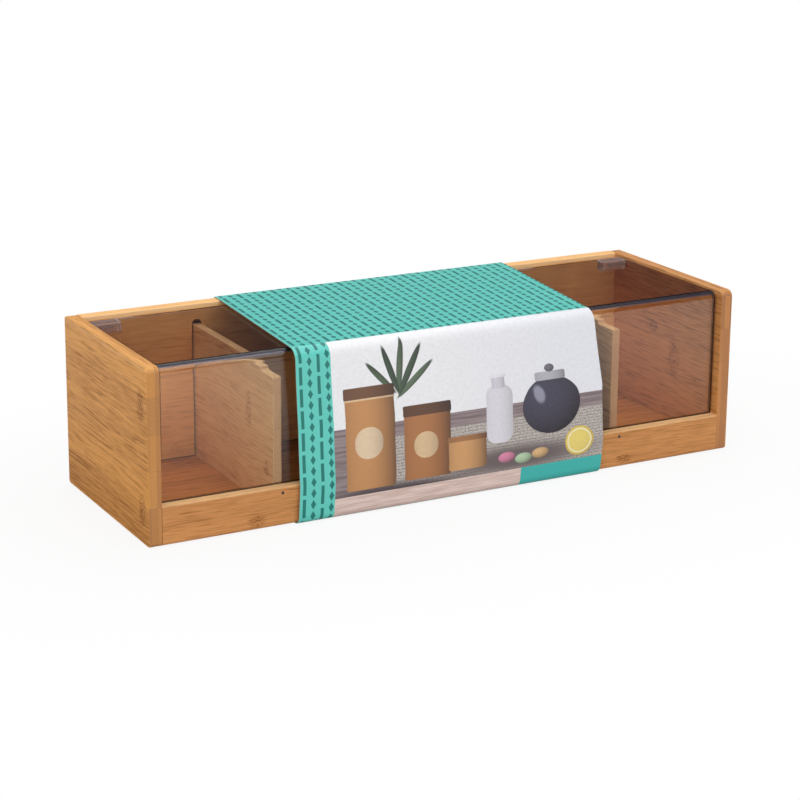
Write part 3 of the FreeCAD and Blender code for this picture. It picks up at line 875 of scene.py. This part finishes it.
def bearing(centre, point):
    """The angle of a point round a centre, from +Y towards +Z, in degrees."""
    return math.degrees(math.atan2(point.z - centre.z, point.y - centre.y)) % 360


def draw_to(bm, last, run, y, z, parts, direction):
    """Draws the last vertex out to a place, in equal parts. run keeps the length of card so far."""
    start, goal = last.co.copy(), Vector((0, y, z)) * MM
    for part in range(1, parts + 1):
        made = bmesh.ops.extrude_vert_indiv(bm, verts=[last])["verts"][0]
        bmesh.ops.translate(bm, verts=[made], vec=start.lerp(goal, part / parts) - last.co)
        made[run] = last[run] + direction * (made.co - last.co).length / MM
        last = made
    return last


def bend_by(bm, last, run, centre, degrees, parts, direction):
    """Spins the last vertex round a centre, in equal parts."""
    radius = (last.co - centre * MM).length / MM
    for _ in range(parts):
        made = bmesh.ops.extrude_vert_indiv(bm, verts=[last])["verts"][0]
        bmesh.ops.rotate(bm, verts=[made], cent=centre * MM,
                         matrix=Matrix.Rotation(math.radians(degrees / parts), 3, "X"))
        made[run] = last[run] + direction * radius * math.radians(abs(degrees) / parts)
        last = made
    return last


print("the front spans", round(bearing(low_fold, bow) - bearing(fold, bow), 1), "degrees of its bow")

# %% Where the sleeve's left and right edge are
def at_stops(value, stops):
    """The left and right edge at a value, between the stops (value, (left, right)), in falling order."""
    value = min(max(value, stops[-1][0]), stops[0][0])
    for (high, first), (low, second) in zip(stops, stops[1:]):
        if value >= low:
            share = (high - value) / (high - low)
            return [a + (b - a) * share for a, b in zip(first, second)]


def card_edges(y, z):
    """The sleeve's left and right edge where the card passes a place."""
    if y < (fold.y if z > TOP / 2 else low_fold.y):
        return at_stops(z, [(TOP, EDGE_FRONT_TOP), (MIDDLE_HEIGHT, EDGE_MIDDLE),
                            (LOW_HEIGHT, EDGE_LOW), (0, EDGE_BOTTOM)])
    if y > back_face:
        return at_stops(z, [(TOP, EDGE_REAR_TOP), (0, EDGE_REAR_BOTTOM)])
    if z > TOP / 2:
        return at_stops(y, [(back_face, EDGE_REAR_TOP), (fold.y, EDGE_FRONT_TOP)])
    return at_stops(y, [(back_face, EDGE_REAR_BOTTOM), (low_fold.y, EDGE_BOTTOM)])


print("edges half way down the front:", [round(edge, 1) for edge in card_edges(FRONT, TOP / 2)])

# %% From a line of card to a sheet
COLUMNS = 16                # of faces, from the left edge to the right


def widen(bm, share):
    """Draws a line of card out along the box. share keeps how far across the card a vertex lies."""
    edges = list(bm.edges)
    for column in range(1, COLUMNS + 1):
        made = bmesh.ops.extrude_edge_only(bm, edges=edges)["geom"]
        for vert in made:
            if isinstance(vert, bmesh.types.BMVert):
                vert[share] = column / COLUMNS
        edges = [part for part in made if isinstance(part, bmesh.types.BMEdge)
                 and all(abs(vert[share] - column / COLUMNS) < 1e-6 for vert in part.verts)]
    for vert in bm.verts:
        left, right = card_edges(vert.co.y / MM, vert.co.z / MM)
        vert.co.x = (left + (right - left) * vert[share]) * MM


def lay_flat(bm, run, share):
    """Gives each corner of a face its place on the flat card, in mm, as its UV."""
    layer = bm.loops.layers.uv.new("UVMap")
    for face in bm.faces:
        face.smooth = True
        for loop in face.loops:
            loop[layer].uv = (loop.vert[share] * CARD_WIDTH, loop.vert[run])
    for edge in bm.edges:
        edge.smooth = not edge.is_boundary


def face_outwards(bm):
    """Turns the faces round where most of them look into the box."""
    bm.normal_update()
    middle = Vector((0, 0, TOP / 2)) * MM
    inward = [face for face in bm.faces if face.normal.dot(face.calc_center_median() - middle) < 0]
    if 2 * len(inward) > len(bm.faces):
        bmesh.ops.reverse_faces(bm, faces=bm.faces)


print("a column of card is about", CARD_WIDTH / COLUMNS, "mm wide")

# %% From a sheet to a piece of card
def card_piece(name, draw, body, stands_for):
    """A bent piece of card. draw makes its line on X = 0, and returns nothing."""
    bm = bmesh.new()
    run = bm.verts.layers.float.new("run")
    share = bm.verts.layers.float.new("share")
    draw(bm, run)
    widen(bm, share)
    lay_flat(bm, run, share)
    face_outwards(bm)
    mesh = bpy.data.meshes.new(name)
    bm.to_mesh(mesh)
    bm.free()
    piece = bpy.data.objects.new(name, mesh)
    bpy.context.scene.collection.objects.link(piece)
    for finish in card_finishes:
        mesh.materials.append(finish)
    wall = piece.modifiers.new("card", "SOLIDIFY")
    wall.thickness = CARD * MM
    wall.offset = -1
    wall.material_offset = 1
    wall.material_offset_rim = 2
    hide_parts(stands_for)
    if body:
        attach(piece, body)
    print(name, "has", len(mesh.polygons), "faces")
    return piece


print("the card is", CARD, "mm thick")

# %% [markdown]
# ## The sleeve's parts
# The real sleeve is one loop. Here it is parted at the lower front fold, out of sight, so that its
# front can lift with the lid. The front part runs from the hinge line over the top and down the
# front. The rear part runs the other way round, down the back and under the box. Each starts beside
# the hinge line and counts its print from the same front fold, so the pattern runs on from one to
# the other.

# %% The front part: top, front fold, front and the start of the lower fold
PRINT_START = 3.0           # the front's picture starts this many degrees down the front fold
PRINT_AT_FOLD = FOLD * math.radians(PRINT_START)        # card from the fold's start to the picture
STRAIGHT_UP, STRAIGHT_DOWN = 90, 270    # as bearings
SPLIT = STRAIGHT_DOWN - 35.0            # where the loop parts
SPLIT_GAP = 0.3
HALF_SPLIT = math.degrees(SPLIT_GAP / 2 / LOW_FOLD)


def front_line(bm, run):
    """From the hinge line to the split in the lower fold."""
    last = bm.verts.new(Vector((0, crease_low.y, TOP)) * MM)
    last[run] = PRINT_AT_FOLD + crease_low.y - fold.y
    last = draw_to(bm, last, run, fold.y, TOP, parts=8, direction=TO_FRONT)
    turn = bearing(fold, bow)
    last = bend_by(bm, last, run, fold, turn - STRAIGHT_UP, parts=14, direction=TO_FRONT)
    low_turn = bearing(low_fold, bow)
    last = bend_by(bm, last, run, bow, low_turn - turn, parts=16, direction=TO_FRONT)
    rest = SPLIT - HALF_SPLIT - low_turn
    bend_by(bm, last, run, low_fold, rest, parts=10, direction=TO_FRONT)


card_piece("printed_sleeve_front", front_line, "sleeve_front", "sleeve_front")

# %% The rear part: rear strip of the top, back, underside and the rest of the lower fold
rear_fold = Vector((0, REAR - REAR_FOLD, TOP - REAR_FOLD))
low_rear_fold = Vector((0, REAR - REAR_FOLD, REAR_FOLD))


def rear_line(bm, run):
    """From the hinge line round the back and the underside to the split."""
    last = bm.verts.new(Vector((0, crease_high.y, TOP)) * MM)
    last[run] = PRINT_AT_FOLD + crease_high.y - fold.y
    last = draw_to(bm, last, run, rear_fold.y, TOP, parts=2, direction=TO_REAR)
    last = bend_by(bm, last, run, rear_fold, -90, parts=8, direction=TO_REAR)
    last = draw_to(bm, last, run, REAR, low_rear_fold.z, parts=6, direction=TO_REAR)
    last = bend_by(bm, last, run, low_rear_fold, -90, parts=8, direction=TO_REAR)
    last = draw_to(bm, last, run, low_fold.y, 0, parts=8, direction=TO_REAR)
    rest = SPLIT + HALF_SPLIT - STRAIGHT_DOWN
    bend_by(bm, last, run, low_fold, rest, parts=6, direction=TO_REAR)


card_piece("printed_sleeve_rear", rear_line, "sleeve_rear", "sleeve_rear")

# %% [markdown]
# ## The crease
# The strip of card over the hinge line bends when the front part lifts with the lid. A piece that
# rides on one body would tear away from the other, so this one rides on neither.

# %% The crease
def crease_line(bm, run):
    """Straight across the hinge line."""
    last = bm.verts.new(Vector((0, crease_low.y, TOP)) * MM)
    last[run] = PRINT_AT_FOLD + crease_low.y - fold.y
    draw_to(bm, last, run, crease_high.y, TOP, parts=16, direction=TO_REAR)


crease = card_piece("printed_sleeve_crease", crease_line, None, "sleeve_crease")
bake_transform(crease)
print("crease is", round(crease_high.y - crease_low.y, 1), "mm wide")

# %% [markdown]
# ## The floor
# The box stands on a pale floor that shows white to the camera and still takes a soft shadow. More
# lamps would make it white too, but would bleach the wood. So the floor glows only for rays that
# come from the camera, from gloss or through the plastic. Close to the box its glow is a little
# weaker, which leaves the shadow, and what gloss shows of it there is painted darker still, a
# painted shadow in its reflections.

# %% The floor
FLOOR_RADIUS = 6.0          # m
FLOOR_REACH = (2.2, 3.6, 0)     # of the dimmer glow: it ends 1 / 2.2 m along the box, 1 / 3.6 m across
NEAR_GLOW, GLOSS_DIMS = 0.88, 0.9


def white_for_eyes(tree):
    """1 where a ray comes from the camera, from gloss or through glass, and 0 for light on things."""
    path = tree.nodes.new("ShaderNodeLightPath")
    seen = calc(tree, "MAXIMUM", path.outputs["Is Camera Ray"], path.outputs["Is Glossy Ray"])
    return calc(tree, "MAXIMUM", seen, path.outputs["Is Transmission Ray"], clamp=True)


def pale_floor():
    """A floor that glows white for what sees it."""
    material, tree, shader = new_finish("pale_floor")
    shader["Roughness"].default_value = 0.9
    away = far(tree, *axes(tree, stretch(tree, here(tree), FLOOR_REACH))[:2])
    in_gloss = tree.nodes.new("ShaderNodeLightPath").outputs["Is Glossy Ray"]
    # near the box, gloss sees the floor darker: a painted shadow in its reflections
    gloss_shade = times(tree, in_gloss, between(tree, away, 1.6, 0.3))
    put(tree, shader["Base Color"], mixed(tree, gloss_shade, tint(235, 235, 235), tint(140, 138, 136)))
    glow = raised(tree, NEAR_GLOW, between(tree, away, 0.5, 1.0), 1.0 - NEAR_GLOW)
    glow = times(tree, glow, raised(tree, 1.0, gloss_shade, -GLOSS_DIMS))
    choice = tree.nodes.new("ShaderNodeMixShader")
    put(tree, choice.inputs[0], times(tree, white_for_eyes(tree), glow))
    put(tree, choice.inputs[1], tree.nodes["Principled BSDF"].outputs[0])
    put(tree, choice.inputs[2], tree.nodes.new("ShaderNodeEmission").outputs[0])
    put(tree, tree.nodes["Material Output"].inputs["Surface"], choice.outputs[0])
    return material


floor_mesh = bpy.data.meshes.new("floor")
bm = bmesh.new()
bmesh.ops.create_circle(bm, cap_ends=True, radius=FLOOR_RADIUS, segments=96)
bm.to_mesh(floor_mesh)
bm.free()
floor_mesh.materials.append(pale_floor())
floor = bpy.data.objects.new("floor", floor_mesh)
bpy.context.scene.collection.objects.link(floor)
print("floor is", 2 * FLOOR_RADIUS, "m across")

# %% [markdown]
# ## The surroundings
# The world is white for the camera as well, and gives the box a weaker, even light. What shines
# would mirror that white all over and look like chalk. So gloss and what shows through the plastic
# get a dim room above the horizon and a soft ceiling overhead.

# %% The surroundings
SKY = 0.45                  # strength of the light on things
DARK_ROOM, CEILING = 0.04, 0.35     # what gloss shows above the horizon, and overhead
world = bpy.data.worlds.new("studio")
bpy.context.scene.world = world
world.use_nodes = True
tree = world.node_tree
sky = tree.nodes["Background"]
path = tree.nodes.new("ShaderNodeLightPath").outputs
height = axes(tree, here(tree, "Generated"))[2]
room = raised(tree, DARK_ROOM, between(tree, height, 0.4, 0.75), CEILING - DARK_ROOM)
plain = raised(tree, SKY, white_for_eyes(tree), 1.0 - SKY)
bounced = calc(tree, "MAXIMUM", path["Is Glossy Ray"], path["Is Transmission Ray"])
dim = times(tree, bounced, between(tree, height, 0.08, 0.20))
put(tree, sky.inputs["Strength"], raised(tree, plain, dim, minus(tree, room, plain)))
put(tree, sky.inputs["Color"], mixed(tree, dim, (1, 1, 1, 1), tint(205, 200, 240)))
print("surroundings give a light of", SKY)

# %% [markdown]
# ## Lamps
# Four soft lamps light the box: a large one from the front left, a broad one above, one over the
# front and a weak one behind. One strong lamp would throw a hard shadow on the dividers. The front
# left one doesn't show in gloss, where it would lie on the lid as a white square.

# %% Lamps
AIM = Vector((0, 0, 0.05))


def soft_lamp(name, place, width, height, power, mirrored=True):
    """A rectangular soft lamp at a place, aimed at the box, in metres and watts."""
    lamp = bpy.data.lights.new(name, "AREA")
    lamp.shape = "RECTANGLE"
    lamp.size, lamp.size_y = width, height
    lamp.energy = power
    holder = bpy.data.objects.new(name, lamp)
    holder.visible_glossy = mirrored
    holder.location = place
    holder.rotation_euler = (AIM - Vector(place)).to_track_quat("-Z", "Y").to_euler()
    bpy.context.scene.collection.objects.link(holder)


soft_lamp("key_lamp", (-1.1, -1.3, 1.1), width=1.0, height=1.0, power=7, mirrored=False)
soft_lamp("top_lamp", (0.1, 0.0, 1.6), width=2.2, height=1.8, power=15)
soft_lamp("front_lamp", (0.3, -1.5, 1.5), width=1.4, height=0.8, power=6.5)
soft_lamp("back_lamp", (0.2, 1.1, 1.35), width=1.4, height=0.5, power=3)
print("lamps aim at", list(AIM))

# %% [markdown]
# ## The camera
# The camera stands to the front left and looks down by about 14 degrees. A lens that is tilted like
# that makes a box's uprights lean towards each other. A view camera shifts its lens against it, and
# shift_y does the same here.

# %% Camera
CAMERA_PLACE = (-591.0, -1077.1, 412.95)    # mm
CAMERA_AZIMUTH, CAMERA_HEIGHT, CAMERA_ROLL = -28.55, 14.314, 0.484      # degrees
FOCAL_PIXELS, PICTURE_PIXELS, SENSOR = 2216.5, 800, 36.0
LENS_SHIFT = -0.125         # as a share of the picture
camera_data = bpy.data.cameras.new("camera")
camera_data.sensor_width = SENSOR
camera_data.lens = SENSOR * FOCAL_PIXELS / PICTURE_PIXELS
camera_data.shift_y = LENS_SHIFT
camera_data.clip_start, camera_data.clip_end = 0.05, 50
camera = bpy.data.objects.new("camera", camera_data)
camera.location = Vector(CAMERA_PLACE) * MM
turned = Euler((math.radians(90 - CAMERA_HEIGHT), 0, math.radians(CAMERA_AZIMUTH)), "XYZ").to_matrix()
camera.rotation_euler = (turned @ Matrix.Rotation(math.radians(CAMERA_ROLL), 3, "Z")).to_euler()
bpy.context.scene.collection.objects.link(camera)
bpy.context.scene.camera = camera
bpy.context.scene.view_settings.view_transform = "Standard"
print("lens", round(camera_data.lens, 2), "mm")
